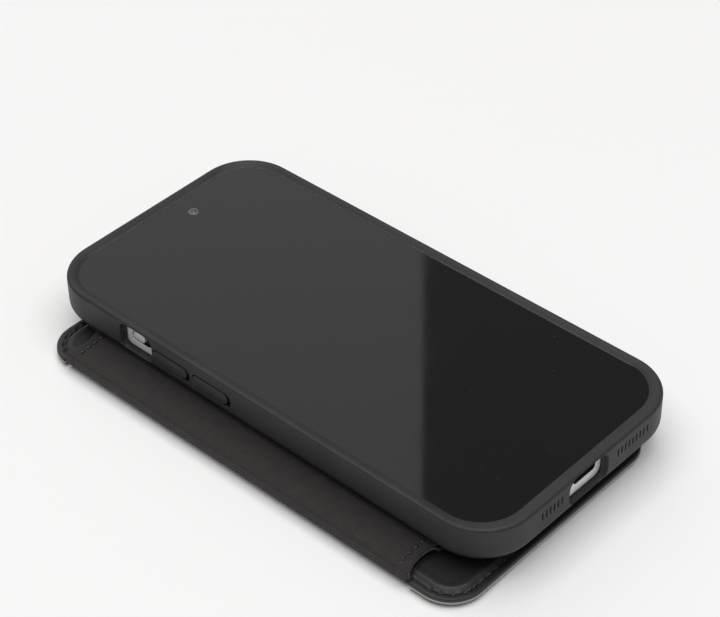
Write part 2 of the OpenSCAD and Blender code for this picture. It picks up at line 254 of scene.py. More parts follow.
def rounded_slab(w, l, r, low, high, low_round, high_round, centre=(0, 0), steps=5,
                 **divisions):
    """Slab with both edges rounded."""
    turns = quarter_turn(steps)
    profile = [(low_round * s, low + low_round * c) for s, c in turns]
    profile += [(high_round * c, high - high_round * s) for s, c in turns]
    return loft([at_height(rounded_outline(w - 2 * inset, l - 2 * inset, smaller(r, inset),
                                           centre, **divisions), z) for inset, z in profile])


def smaller(r, inset):
    """A corner radius, or four, at an inset outline."""
    if isinstance(r, (tuple, list)):
        return tuple(max(v - inset, 0.02) for v in r)
    return max(r - inset, 0.02)


def turned_profile(centre, profile, sides=40):
    """Solid of revolution about a line along Z. profile lists (radius, height)."""
    rings = [[(centre[0] + r * math.cos(2 * math.pi * k / sides),
               centre[1] + r * math.sin(2 * math.pi * k / sides), z)
              for k in range(sides)] for r, z in profile]
    return loft(rings)


def turned(mesh_lists, function):
    """The same mesh with each vertex put somewhere else."""
    vertices, faces = mesh_lists
    return [function(*v) for v in vertices], faces


def hole_outline(w, h, r, arc=8):
    return lambda grow: rounded_outline(w + 2 * grow, h + 2 * grow, r + grow, arc=arc)


def wall_hole(outline, lip, depth, to_place):
    """Cutter for a hole with a rounded lip. outline(grow) gives its shape in the wall's
    plane; to_place(u, v, d) puts a point that lies d inside the wall's outer face."""
    steps = 6
    levels = [(-1.0, lip)]
    for i in range(steps + 1):
        d = lip * i / steps
        levels.append((d, lip - math.sqrt(max(lip * lip - (lip - d) ** 2, 0))))
    levels.append((depth, 0))
    return loft([[to_place(u, v, d) for u, v in outline(grow)] for d, grow in levels])


def scooped_window(w, h, r, to_place):
    """Cutter for a window in a shallow dish, which is tallest above and below it."""
    dish, reach, lip, steps = 1.3, 1.4, 0.1, 8
    levels = [(-1.0, reach)]
    for i in range(steps + 1):
        share = i / steps
        levels.append((dish * (1 - math.cos(math.pi * share)) / 2,
                       lip + (reach - lip) * (1 - share)))
    for i in range(1, 4):
        levels.append((dish + lip * i / 3, lip * (1 - math.sin(math.pi / 6 * i))))
    levels.append((WALL + 1, 0))

    def outline(grow):
        return rounded_outline(w + grow, h + 1.7 * grow, r + 0.6 * grow, arc=10)

    return loft([[to_place(u, v, d) for u, v in outline(grow)] for d, grow in levels])


# ---- Materials ----

class Finish:
    """A node material in the making. Texture coordinates are metres of the piece itself."""

    def __init__(self, name, colour, roughness, coords="Object", **settings):
        self.material = bpy.data.materials.new(name)
        self.material.use_nodes = True
        self.nodes = self.material.node_tree.nodes
        self.links = self.material.node_tree.links
        self.shader = self.nodes["Principled BSDF"]
        self.shader.inputs["Base Color"].default_value = (*colour, 1)
        self.shader.inputs["Roughness"].default_value = roughness
        for socket, value in settings.items():
            self.shader.inputs[socket.replace("_", " ")].default_value = value
        self.coords = self.nodes.new("ShaderNodeTexCoord").outputs[coords]

    def stretched(self, scale):
        """The coordinates, stretched by a factor along each axis."""
        node = self.nodes.new("ShaderNodeMapping")
        node.inputs["Scale"].default_value = scale
        self.links.new(self.coords, node.inputs["Vector"])
        return node.outputs["Vector"]

    def texture(self, kind, size_mm, stretch):
        node = self.nodes.new(kind)
        node.inputs["Scale"].default_value = 1 / (size_mm * MM)
        source = self.stretched(stretch) if stretch else self.coords
        self.links.new(source, node.inputs["Vector"])
        return node

    def noise(self, size_mm, detail=3, stretch=None):
        """Noise whose features are about size_mm wide."""
        node = self.texture("ShaderNodeTexNoise", size_mm, stretch)
        node.inputs["Detail"].default_value = detail
        return node.outputs["Fac"]

    def cells(self, size_mm, stretch=None):
        """Rounded cells about size_mm wide, as in the grain of leather."""
        node = self.texture("ShaderNodeTexVoronoi", size_mm, stretch)
        node.feature = "SMOOTH_F1"
        return node.outputs["Distance"]

    def waves(self, size_mm, axis, distortion=0.0):
        """Parallel bands, size_mm from one to the next."""
        node = self.nodes.new("ShaderNodeTexWave")
        node.bands_direction = axis
        node.inputs["Scale"].default_value = 0.314159 / (size_mm * MM)
        node.inputs["Distortion"].default_value = distortion
        self.links.new(self.coords, node.inputs["Vector"])
        return node.outputs["Fac"]

    def spread(self, value, low, high, to_low=0.0, to_high=1.0):
        """Maps a value's range from low to high onto another."""
        node = self.nodes.new("ShaderNodeMapRange")
        node.inputs["From Min"].default_value = low
        node.inputs["From Max"].default_value = high
        node.inputs["To Min"].default_value = to_low
        node.inputs["To Max"].default_value = to_high
        self.links.new(value, node.inputs["Value"])
        return node.outputs["Result"]

    def both(self, first, second, operation="MULTIPLY"):
        node = self.nodes.new("ShaderNodeMath")
        node.operation = operation
        self.links.new(first, node.inputs[0])
        if isinstance(second, (int, float)):
            node.inputs[1].default_value = second
        else:
            self.links.new(second, node.inputs[1])
        return node.outputs["Value"]

    def tint(self, factor, colour):
        """Blends from the colour so far towards another where factor is high."""
        node = self.nodes.new("ShaderNodeMix")
        node.data_type = "RGBA"
        base = self.shader.inputs["Base Color"]
        if base.is_linked:
            self.links.new(base.links[0].from_socket, node.inputs["A"])
        else:
            node.inputs["A"].default_value = base.default_value
        node.inputs["B"].default_value = (*colour, 1)
        self.links.new(factor, node.inputs["Factor"])
        self.links.new(node.outputs["Result"], base)
        return self

    def rough(self, factor, low, high):
        """Roughness that follows a factor from 0 to 1."""
        self.links.new(self.spread(factor, 0.25, 0.75, low, high),
                       self.shader.inputs["Roughness"])
        return self

    def bump(self, height, depth_mm, strength=1.0):
        """Adds relief to the relief that is already there."""
        node = self.nodes.new("ShaderNodeBump")
        node.inputs["Strength"].default_value = strength
        node.inputs["Distance"].default_value = depth_mm * MM
        normal = self.shader.inputs["Normal"]
        if normal.is_linked:
            self.links.new(normal.links[0].from_socket, node.inputs["Normal"])
        self.links.new(height, node.inputs["Height"])
        self.links.new(node.outputs["Normal"], normal)
        return self


def soft_touch():
    """Matt rubbery plastic with a fine powdery grain, and a little dust."""
    f = Finish("soft_touch_tpu", (0.0165, 0.0165, 0.0175), 0.56, IOR=1.46)
    f.tint(f.spread(f.noise(14, 2), 0.35, 0.7), (0.022, 0.022, 0.0225))
    f.tint(f.spread(f.noise(0.35, 1), 0.735, 0.76, 0, 0.4), (0.16, 0.16, 0.15))
    f.rough(f.noise(9, 3), 0.5, 0.62)
    f.bump(f.noise(0.14, 2), 0.012, 0.5)
    return f.material


def smooth_leather(name, coords="Object"):
    """Black split leather with a fine pebble grain, worn a little lighter in patches."""
    f = Finish(name, (0.0150, 0.0148, 0.0152), 0.5, coords, IOR=1.48)
    f.tint(f.spread(f.noise(7, 3), 0.4, 0.75, 0, 0.7), (0.023, 0.0225, 0.0225))
    f.tint(f.spread(f.noise(0.3, 1), 0.74, 0.765, 0, 0.5), (0.2, 0.2, 0.19))
    f.rough(f.noise(5, 3), 0.42, 0.56)
    f.bump(f.cells(0.42), 0.02, 0.35)
    f.bump(f.noise(1.6, 3), 0.03, 0.25)
    return f.material


def ribbed_fabric():
    """Dark brown-grey grosgrain: ribs along the spine, crossed by a fine weave."""
    f = Finish("grosgrain", (0.0134, 0.0112, 0.0111), 0.88, "UV",
               Sheen_Weight=0.12, Sheen_Roughness=0.45)
    weave = f.waves(0.34, "Y", 0.6)
    f.tint(f.spread(f.noise(2.6, 4), 0.3, 0.75, 0, 0.8), (0.0255, 0.0212, 0.0208))
    f.tint(f.both(weave, f.noise(0.3, 2)), (0.037, 0.0305, 0.030))
    f.tint(f.spread(f.noise(0.4, 1), 0.74, 0.765, 0, 0.55), (0.24, 0.23, 0.21))
    f.bump(weave, 0.03, 0.6)
    f.bump(f.noise(0.12, 2), 0.03, 0.5)
    return f.material


def microfibre():
    """Short soft pile inside the shell."""
    f = Finish("microfibre", (0.02, 0.02, 0.022), 0.95, Sheen_Weight=0.5,
               Sheen_Roughness=0.4)
    f.tint(f.spread(f.noise(5, 3), 0.35, 0.7), (0.032, 0.032, 0.036))
    f.bump(f.noise(0.16, 3), 0.05, 0.8)
    return f.material


def pocket_lining():
    """Thin coated lining with a fine cross grain."""
    f = Finish("pocket_lining", (0.018, 0.0175, 0.018), 0.6)
    f.tint(f.spread(f.noise(11, 3), 0.35, 0.7), (0.027, 0.026, 0.027))
    f.rough(f.noise(4, 2), 0.5, 0.68)
    f.bump(f.cells(0.5, (1, 0.6, 1)), 0.025, 0.5)
    return f.material


def edge_core():
    """Pale fibre board that shows at the cut edge."""
    f = Finish("edge_core", (0.42, 0.41, 0.39), 0.8)
    f.tint(f.spread(f.noise(0.5, 4, (1, 1, 4)), 0.4, 0.75), (0.28, 0.275, 0.26))
    f.bump(f.noise(0.2, 3), 0.03, 0.7)
    return f.material


def cut_edge():
    """Cut edge of the leather, greyer than its face."""
    f = Finish("leather_cut_edge", (0.06, 0.058, 0.055), 0.85, "UV")
    f.tint(f.spread(f.noise(0.4, 3), 0.35, 0.7), (0.12, 0.115, 0.11))
    f.bump(f.noise(0.2, 2), 0.03, 0.6)
    return f.material


def dark_board():
    f = Finish("dyed_board", (0.02, 0.019, 0.019), 0.85)
    f.tint(f.spread(f.noise(1.2, 3), 0.35, 0.7), (0.034, 0.032, 0.031))
    f.bump(f.noise(0.25, 3), 0.04, 0.6)
    return f.material


def thread():
    """Twisted black thread with a waxy shine."""
    f = Finish("waxed_thread", (0.012, 0.012, 0.014), 0.42, IOR=1.5)
    f.tint(f.spread(f.noise(0.25, 2), 0.5, 0.62, 0, 0.8), (0.08, 0.08, 0.082))
    f.bump(f.noise(0.12, 2), 0.05, 0.8)
    return f.material


def metal(name, colour, roughness, brush_mm=0.1, metallic=1.0):
    """Finely blasted metal. An anodised skin scatters part of the light."""
    f = Finish(name, colour, roughness, Metallic=metallic)
    f.rough(f.noise(3, 3), roughness * 0.85, roughness * 1.2)
    f.bump(f.noise(brush_mm, 2), 0.006, 0.4)
    return f.material


def adhesive():
    f = Finish("adhesive_film", (0.2, 0.19, 0.17), 0.45)
    f.tint(f.spread(f.noise(2, 3), 0.35, 0.7), (0.28, 0.27, 0.24))
    f.bump(f.noise(0.4, 2), 0.02, 0.4)
    return f.material


def screen_glass():
    """Near-black glass over a dark display, with a few specks of dust."""
    f = Finish("screen_glass", (0.0035, 0.0035, 0.0037), 0.035, IOR=1.5)
    f.tint(f.spread(f.noise(0.5, 1), 0.785, 0.8, 0, 0.5), (0.18, 0.165, 0.165))
    f.rough(f.noise(18, 3), 0.02, 0.06)
    return f.material


def back_glass():
    f = Finish("satin_back_glass", (0.03, 0.03, 0.034), 0.3, IOR=1.5)
    f.rough(f.noise(12, 3), 0.26, 0.34)
    f.bump(f.noise(0.1, 1), 0.004, 0.4)
    return f.material


def lens_glass():
    """Coated lens, deep blue-black."""
    f = Finish("lens_glass", (0.004, 0.005, 0.012), 0.03, IOR=1.6, Coat_Weight=1.0,
               Coat_Roughness=0.02)
    f.tint(f.spread(f.noise(2.5, 1), 0.45, 0.6, 0, 0.6), (0.008, 0.006, 0.02))
    return f.material


def black_plastic():
    f = Finish("black_plastic", (0.012, 0.012, 0.013), 0.45)
    f.tint(f.spread(f.noise(2, 2), 0.35, 0.7), (0.018, 0.018, 0.019))
    f.bump(f.noise(0.1, 2), 0.006, 0.5)
    return f.material


def flash_diffuser():
    f = Finish("flash_diffuser", (0.75, 0.71, 0.56), 0.35)
    f.bump(f.cells(0.35), 0.03, 0.5)
    return f.material


TPU = soft_touch()
LEATHER = smooth_leather("smooth_leather")
FOLD_LEATHER = smooth_leather("folded_leather", "UV")
FABRIC = ribbed_fabric()
MICROFIBRE = microfibre()
LINING = pocket_lining()
CORE = edge_core()
CUT_EDGE = cut_edge()
BOARD = dark_board()
THREAD = thread()
BAND_METAL = metal("blasted_aluminium", (0.84, 0.84, 0.83), 0.42, 0.1, 0.4)
STEEL = metal("rolled_steel", (0.52, 0.52, 0.54), 0.38, 0.3)
DARK_RING = metal("dark_anodised_ring", (0.16, 0.16, 0.165), 0.3)
MAGNET = metal("nickel_plating", (0.58, 0.57, 0.55), 0.22)
ADHESIVE = adhesive()
GLASS = screen_glass()
BACK_GLASS = back_glass()
LENS = lens_glass()
PLASTIC = black_plastic()
FLASH = flash_diffuser()


# ---- Shell ----

# Each of these gives a function from (u, v, d) to the point that lies u along the wall, v up
# and d into it, from a place on its outer face.

def left_wall(y, z, node="phone_shell"):
    x = node_box(node)[0][0]
    return lambda u, v, d: (x + d, y + u, z + v)


def right_wall(y, z):
    x = node_box("phone_shell")[1][0]
    return lambda u, v, d: (x - d, y + u, z + v)


def bottom_wall(x, z, node="phone_shell"):
    y = node_box(node)[0][1]
    return lambda u, v, d: (x + u, y + d, z + v)


def window_cutters():
    """Windows over the mute switch and the port, and the speaker slots."""
    rim = node_box("phone_shell")[1][2]
    switch_window, switch_z = (10.6, 6.5, 1.6), rim - 4.9
    port_window, port_x, port_z = (13.8, 6.7, 2.4), -0.9, rim - 4.8
    slot, slot_lip, slot_pitch, slot_z = hole_outline(0.42, 2.3, 0.2, 4), 0.2, 1.45, rim - 3.8
    cutters = [scooped_window(*switch_window, left_wall(SWITCH_Y, switch_z)),
               scooped_window(*port_window, bottom_wall(port_x, port_z))]
    for count, x in ((6, -14.9), (9, 16.2)):
        for i in range(count):
            centre = x + (i - (count - 1) / 2) * slot_pitch
            cutters.append(wall_hole(slot, slot_lip, WALL + 1, bottom_wall(centre, slot_z)))
    return cutters


def button_hole(node, wall):
    """Hole round a button, wider above it and at its lower end, where the wall is slit."""
    low, high = node_box(node)
    gap, slit_above, slit_end = 0.12, 0.42, 0.85
    y0, y1 = low[1] - gap - slit_end, high[1] + gap
    z0, z1 = low[2] - gap, high[2] + slit_above

    def outline(grow):
        return rounded_outline(y1 - y0 + 2 * grow, z1 - z0 + 2 * grow,
                               smaller((1.7, 1.9, 0.5, 1.7), -grow), arc=6)

    return wall_hole(outline, 0.08, WALL + 1, wall((y0 + y1) / 2, (z0 + z1) / 2))


def magnet_pockets():
    """Pockets in the inside of the right wall. The three magnets share one node."""
    low, high = node_box("shell_magnets")
    margin = 0.05
    pockets = []
    for y in MAGNET_YS:
        outline = rounded_outline(MAGNET_L + 2 * margin, high[2] - low[2] + 2 * margin, 0.85,
                                  arc=4)
        z = middle(low, high)[2]
        pockets.append(loft([[(x, y + u, z + v) for u, v in outline]
                             for x in (low[0] - 0.3, high[0] + margin)]))
    return pockets


def camera_outline(grow, **divisions):
    """Outline of the camera window, bigger all round by grow."""
    low, high = node_box("camera_guard")
    w, l = high[0] - low[0] - 2 * GUARD_T, high[1] - low[1] - 2 * GUARD_T
    return rounded_outline(w + 2 * grow, l + 2 * grow, CAMERA_R + grow,
                           middle(low, high)[:2], **divisions)


def camera_cutter(grow, low, high):
    return loft([at_height(camera_outline(grow, arc=14), z) for z in (low, high)])


def make_shell():
    """Bumper shell. A soft lip laps over the edge of the glass, most at the bottom end."""
    low, high = node_box("phone_shell")
    w, l, _ = extent(low, high)
    floor_top = node_box("shell_lining")[0][2]
    profile = [(BASE_ROUND * s, low[2] + BASE_ROUND * c) for s, c in quarter_turn(10)]
    profile += [(RIM_ROUND * c, high[2] - RIM_ROUND * s) for s, c in quarter_turn(7)]
    under_lip = node_box("phone_front_glass")[1][2] + 0.05
    lip = [(1.15, high[2] - 0.03), (1.45, high[2] - 0.13), (1.75, high[2] - 0.27),
           (2.05, high[2] - 0.42), (2.25, high[2] - 0.54), (2.37, high[2] - 0.64),
           (2.75, high[2] - 0.76), (2.7, under_lip)]
    left_lip, bottom_lip = 0.5, 0.9
    rings = []
    for inset, z in profile + lip + [(WALL, under_lip), (WALL, floor_top)]:
        share = blend_step(inset, RIM_ROUND, 2.3) if (inset, z) in lip else 0
        outline = rounded_outline(w - 2 * inset - left_lip * share,
                                  l - 2 * inset - bottom_lip * share, SHELL_R - inset,
                                  (left_lip * share / 2, bottom_lip * share / 2),
                                  arc=24, sides=16, ends=8)
        rings.append(at_height(outline, z))
    shell = make_object("shell_body", loft(rings), [TPU])
    cut(shell, joined(button_hole("volume_up_button", left_wall),
                      button_hole("volume_down_button", left_wall),
                      button_hole("power_button", right_wall),
                      camera_cutter(0, low[2] - 1, floor_top + 1), *magnet_pockets()))
    cut(shell, joined(*window_cutters()))
    place(shell, "shell", "shell_tpu", "phone_shell")


def make_button(name, node, body, side):
    """A pad with softly rounded edges. side is -1 on the left wall and 1 on the right."""
    low, high = node_box(node)
    depth, length, height = extent(low, high)
    _, cy, cz = middle(low, high)
    pad = rounded_slab(length, height, (1.4, 1.6, 1.6, 1.4), 0, depth, 0.05, 0.22, arc=8)
    outer = high[0] if side > 0 else low[0]
    crown = 0.05
    rows = turned(pad, lambda u, v, d: (
        outer - side * (depth - d) - side * crown * (2 * v / height) ** 2 * (d > depth - 0.3),
        cy + u, cz + v))
    place(make_object(name, rows, [TPU]), body, "shell_tpu", node)


def make_guard():
    """Raised ring round the camera window."""
    low, high = node_box("camera_guard")
    inner_round, outer_round, turns = 0.42, 0.7, quarter_turn(6)
    profile = [(0, high[2])]
    profile += [(inner_round * c, low[2] + inner_round * s) for s, c in turns]
    profile += [(GUARD_T - outer_round * s, low[2] + outer_round * c) for s, c in turns]
    profile.append((GUARD_T, high[2]))
    rings = [at_height(camera_outline(grow, arc=16, sides=4, ends=4), z)
             for grow, z in profile]
    place(make_object("camera_guard_ring", loft(rings, closed=True), [TPU]),
          "shell", "shell_tpu", "camera_guard")


def make_lining():
    low, high = node_box("shell_lining")
    w, l, _ = extent(low, high)
    slab = rounded_slab(w, l, PHONE_R - 0.1, low[2], high[2], 0.02, 0.15, arc=12, sides=8, ends=4)
    sheet = make_object("microfibre_lining", slab, [MICROFIBRE])
    cut(sheet, camera_cutter(0.3, low[2] - 1, high[2] + 1))
    place(sheet, "shell", "microfibre", "shell_lining")


def make_back_leather():
    """Leather on the outside of the back panel, its edge turned in."""
    low, high = node_box("back_leather")
    w, l, _ = extent(low, high)
    slab = rounded_slab(w, l, 13, low[2], high[2], 0.4, 0.12, middle(low, high)[:2],
                        arc=16, sides=10, ends=6)
    sheet = make_object("back_leather_skin", slab, [LEATHER])
    cut(sheet, camera_cutter(GUARD_T + 0.4, low[2] - 1, high[2] + 1))
    place(sheet, "shell", "outer_leather", "back_leather")


make_shell()
make_button("volume_up_pad", "volume_up_button", "volume_up", -1)
make_button("volume_down_pad", "volume_down_button", "volume_down", -1)
make_button("power_pad", "power_button", "power", 1)
make_guard()
make_lining()
make_back_leather()


# ---- Folding strip: spine, crease and the start of the cover ----

BEFORE_B = 1.6
MID_CREASE = (PIVOT_B[1] + PIVOT_C[1]) / 2
ALONG_SPINE = (-math.cos(SPINE_TILT), -math.sin(SPINE_TILT))
RIB_PITCH = 1.15
RIB_DEPTH = 0.13
ROW_Y = SPINE_HALF - STITCH_INSET


def spine_station(back):
    """Point of the strip's leather face, back millimetres before the crease."""
    return (PIVOT_B[0] - back * ALONG_SPINE[0], PIVOT_B[1] - back * ALONG_SPINE[1],
            *ALONG_SPINE)


def turn_stations(centre, first, last, steps=14):
    """The path turns on the spot, from one direction to another, in radians."""
    return [(*centre, math.cos(a), math.sin(a))
            for a in (first + (last - first) * i / steps for i in range(steps + 1))]


def straight_stations(start, end, steps):
    dx, dz = end[0] - start[0], end[1] - start[1]
    length = math.hypot(dx, dz)
    return [(start[0] + dx * i / steps, start[1] + dz * i / steps, dx / length, dz / length)
            for i in range(steps + 1)]


def spine_path(far_back, step=0.1):
    count = round((far_back - BEFORE_B) / step)
    return [spine_station(BEFORE_B + (far_back - BEFORE_B) * (1 - i / count))
            for i in range(count + 1)]


def leather_root(panel_face):
    """S-curve from the back panel's leather up to the strip: a cubic between the two."""
    x1, z1, dx1, dz1 = spine_station(8.2)
    x0, z0 = node_box("back_leather")[0][0] + 0.6, panel_face
    pull, steps, stations = 1.9, 16, []
    points = ((x0, z0), (x0 - pull, z0), (x1 - dx1 * pull, z1 - dz1 * pull), (x1, z1))
    for i in range(steps):
        t = i / steps
        shares = ((1 - t) ** 3, 3 * t * (1 - t) ** 2, 3 * t * t * (1 - t), t ** 3)
        slopes = (-(1 - t) ** 2, (1 - t) * (1 - 3 * t), t * (2 - 3 * t), t * t)
        x, z = (sum(k * p[axis] for k, p in zip(shares, points)) for axis in (0, 1))
        dx, dz = (sum(k * p[axis] for k, p in zip(slopes, points)) for axis in (0, 1))
        size = math.hypot(dx, dz)
        stations.append((x, z, dx / size, dz / size))
    return stations + spine_path(8.2)


CREASE_PATH = (straight_stations(spine_station(BEFORE_B)[:2], PIVOT_B, 14)[:-1]
               + turn_stations(PIVOT_B, math.pi + SPINE_TILT, 1.5 * math.pi)
               + straight_stations(PIVOT_B, (PIVOT_B[0], MID_CREASE), 6)[1:])


def cover_path(right_end):
    return (straight_stations((PIVOT_C[0], MID_CREASE), PIVOT_C, 6)[:-1]
            + turn_stations(PIVOT_C, 1.5 * math.pi, 2 * math.pi)
            + straight_stations(PIVOT_C, (right_end, PIVOT_C[1]), 8)[1:])


def half_length(x, z):
    """The strip's ends are notched: half its length where the path is at x, z."""
    back = math.hypot(x - PIVOT_B[0], z - PIVOT_B[1]) if z > PIVOT_B[1] else 0
    waist = 5.2
    off = min(abs(back - waist), math.sqrt(NOTCH_R ** 2 - (NOTCH_R - NOTCH_DEPTH) ** 2))
    return SPINE_HALF + NOTCH_R - math.sqrt(NOTCH_R ** 2 - off ** 2)


def strip_columns(half, seam_depth):
    """Places across one end of the strip, as (distance from the middle, how deep)."""
    inner = [(ROW_Y + d, -seam_depth * math.exp(-(d / 0.35) ** 2))
             for d in (-1.2, -0.6, -0.3, -0.1, 0.1, 0.3, 0.6, 1.2)]
    outer = [(half - 0.25, 0), (half - 0.08, -0.04), (half, -0.12)]
    return inner + outer


def strip_mesh(path, low, high, ribs=0.0, seam_depth=0.0, phase=0.0):
    """Closed ply between two distances from the leather face, and a flat place for each
    vertex. ribs is the height of the ribs on its outer face."""
    rings, flat, run, last = [], [], phase, None
    for x, z, tx, tz in path:
        nx, nz = tz, -tx
        here = (x + nx * high, z + nz * high)
        run += math.dist(here, last) if last else 0
        last = here
        swell = ribs * 0.5 * (math.cos(2 * math.pi * run / RIB_PITCH) - 1)
        side = strip_columns(half_length(x, z), seam_depth)
        top = [(-y, d) for y, d in reversed(side)] + side
        ring = [(x + nx * (high + swell + d), y, z + nz * (high + swell + d)) for y, d in top]
        ring += [(x + nx * (low - min(d, 0) * 0.4), y, z + nz * (low - min(d, 0) * 0.4))
                 for y, d in reversed(top)]
        rings.append(ring)
        flat += [(run, y) for y, _ in top] + [(run, y) for y, _ in reversed(top)]
    return loft(rings), flat, run


def paint_ends(obj, index):
    """Gives the faces at the two cut ends the second material."""
    for face in obj.data.polygons:
        if abs(face.normal.y) > 0.75:
            face.material_index = index


def blended(obj, slot, bodies, start, end, *replaced):
    if replaced:
        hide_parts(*replaced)
    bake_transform(obj)


def across(centre, first, last, half):
    """Start and end of a bend, half to either side of its centre, along the mean of the
    two directions, which are angles in radians."""
    a = (first + last) / 2
    dx, dz = math.cos(a) * half, math.sin(a) * half
    return ((centre[0] - dx, 0, centre[1] - dz), (centre[0] + dx, 0, centre[1] + dz))


def make_strip(prefix, materials, slot, nodes, low, high, root_path, cover_end, root_bend,
               fold_half, **relief):
    """The three pieces of one ply of the strip."""
    pieces, run = [], 0
    for ending, path in (("_spine", root_path), ("_fold", CREASE_PATH),
                         ("_turn", cover_path(cover_end))):
        ply, flat, run = strip_mesh(path, low, high, phase=run, **relief)
        pieces.append(make_object(prefix + ending, ply, materials, flat, 60))
        if len(materials) > 1:
            paint_ends(pieces[-1], 1)
    blended(pieces[0], slot, ("shell", "spine"), *root_bend, nodes[0])
    blended(pieces[1], slot, ("spine", "crease"),
            *across(PIVOT_B, math.pi + SPINE_TILT, 1.5 * math.pi, fold_half), nodes[1])
    blended(pieces[2], slot, ("crease", "cover"),
            *across(PIVOT_C, 1.5 * math.pi, 2 * math.pi, fold_half))
    return pieces


def make_fold():
    panel_face = node_box("back_leather")[0][2] + 0.02
    leather = make_strip(
        "leather", [FOLD_LEATHER, CUT_EDGE], "outer_leather", ("spine_leather", "crease_leather"),
        0.04, LEATHER_T, leather_root(panel_face), -45.16,
        ((-34.9, 0, 4), (-38.2, 0, 4)), 0.43)
    fabric = make_strip(
        "fabric", [FABRIC], "ribbed_fabric", ("spine_fabric", "crease_fabric"),
        LEATHER_T, LEATHER_T + FABRIC_T, spine_path(12.2), -44.2,
        ((-33.7, 0, 6), (-37.7, 0, 6)), 0.9, ribs=RIB_DEPTH, seam_depth=0.16)


def stitch_mesh(centre, along, sideways, up, length, width, height=0.28):
    """One raised stitch: a short thread that dives into the leather at both ends."""
    rings, steps, sides = [], 8, 8
    for i in range(steps + 1):
        t = i / steps
        bow = math.sin(math.pi * t)
        thick = 0.35 + 0.65 * bow ** 0.5
        lift = height * (bow ** 0.7 - 0.75)
        ring = []
        for k in range(sides):
            a = 2 * math.pi * k / sides
            u = (t - 0.5) * length
            v, w = width / 2 * thick * math.cos(a), width / 2 * thick * math.sin(a) + lift
            ring.append(tuple(centre[j] + u * along[j] + v * sideways[j] + w * up[j]
                              for j in range(3)))
        rings.append(ring)
    return loft(rings)


def make_spine_stitches():
    """Two rows across the strip, one near each notch."""
    count, pitch, first = 4, 2.25, 1.9
    stitches = []
    for side in (-1, 1):
        for i in range(count):
            x, z, tx, tz = spine_station(first + i * pitch)
            nx, nz = tz, -tx
            face = LEATHER_T + FABRIC_T - 0.05
            stitches.append(stitch_mesh((x + nx * face, side * ROW_Y, z + nz * face),
                                        (tx, 0.12 * side, tz), (0, 1, 0), (nx, 0, nz), 1.6,
                                        0.6))
    place(make_object("spine_stitches", joined(*stitches), [THREAD]),
          "spine", "thread", "spine_stitching")


make_fold()
make_spine_stitches()


# ---- Cover ----

COVER_LOW, COVER_HIGH = node_box("cover_leather")
COVER_W, COVER_L, _ = extent(COVER_LOW, COVER_HIGH)
COVER_CENTRE = tuple(middle(COVER_LOW, COVER_HIGH)[:2])
LEATHER_FACE = PIVOT_C[1]
PAD_FACE = COVER_HIGH[2]
EDGE_STEP = 0.45


def cover_outline(inset):
    """Outline of the cover at an inset, always with the same number of points."""
    return rounded_outline(COVER_W - 2 * inset, COVER_L - 2 * inset, max(COVER_R - inset, 4.2),
                           COVER_CENTRE, arc=34,
                           sides=round((COVER_L - 2 * COVER_R) / EDGE_STEP),
                           ends=round((COVER_W - 2 * COVER_R) / EDGE_STEP))


def stitch_places():
    """(x, y, direction) of each stitch on the cover's border, with none along the fold."""
    inset_w, inset_l = COVER_W / 2 - STITCH_INSET, COVER_L / 2 - STITCH_INSET
    r = COVER_R - STITCH_INSET
    cx, cy = COVER_CENTRE
    runs = []
    long_count = math.floor((inset_l - r) * 2 / STITCH_PITCH)
    short_count = math.floor((inset_w - r) * 2 / STITCH_PITCH)
    for i in range(long_count + 1):
        runs.append((cx + inset_w, cy + (i / long_count * 2 - 1) * (inset_l - r), math.pi / 2))
    for end in (-1, 1):
        for i in range(short_count + 1):
            runs.append((cx + (i / short_count * 2 - 1) * (inset_w - r), cy + end * inset_l, 0))
    for sx in (-1, 1):
        for sy in (-1, 1):
            for i in range(4):
                a = math.pi / 2 * (i + 0.5) / 4
                runs.append((cx + sx * (inset_w - r + r * math.sin(a)),
                             cy + sy * (inset_l - r + r * math.cos(a)), -sx * sy * a))
    return runs


def skin_height(x, y, inset):
    """Height of the leather above its border level: sunk under the stitches, raised over
    the padding with a soft ridge where the padding begins."""
    on_fold = x < COVER_LOW[0] + 6 and abs(y) < SPINE_ROOM
    seam = 0 if on_fold else 0.3 * math.exp(-((inset - STITCH_INSET) / 0.5) ** 2)
    pad = PAD_FACE - LEATHER_FACE
    rise = blend_step(inset, 2.7, 3.7) * pad
    hollow = 0.17 * blend_step(inset, 4.0, 6.0)
    return rise - hollow - seam


def dimples(x, y, places):
    """The leather is pulled down where the thread goes in."""
    depth = 0
    for px, py in places:
        far = (x - px) ** 2 + (y - py) ** 2
        if far < 1:
            depth = max(depth, 0.38 * math.exp(-far / 0.2))
    return depth


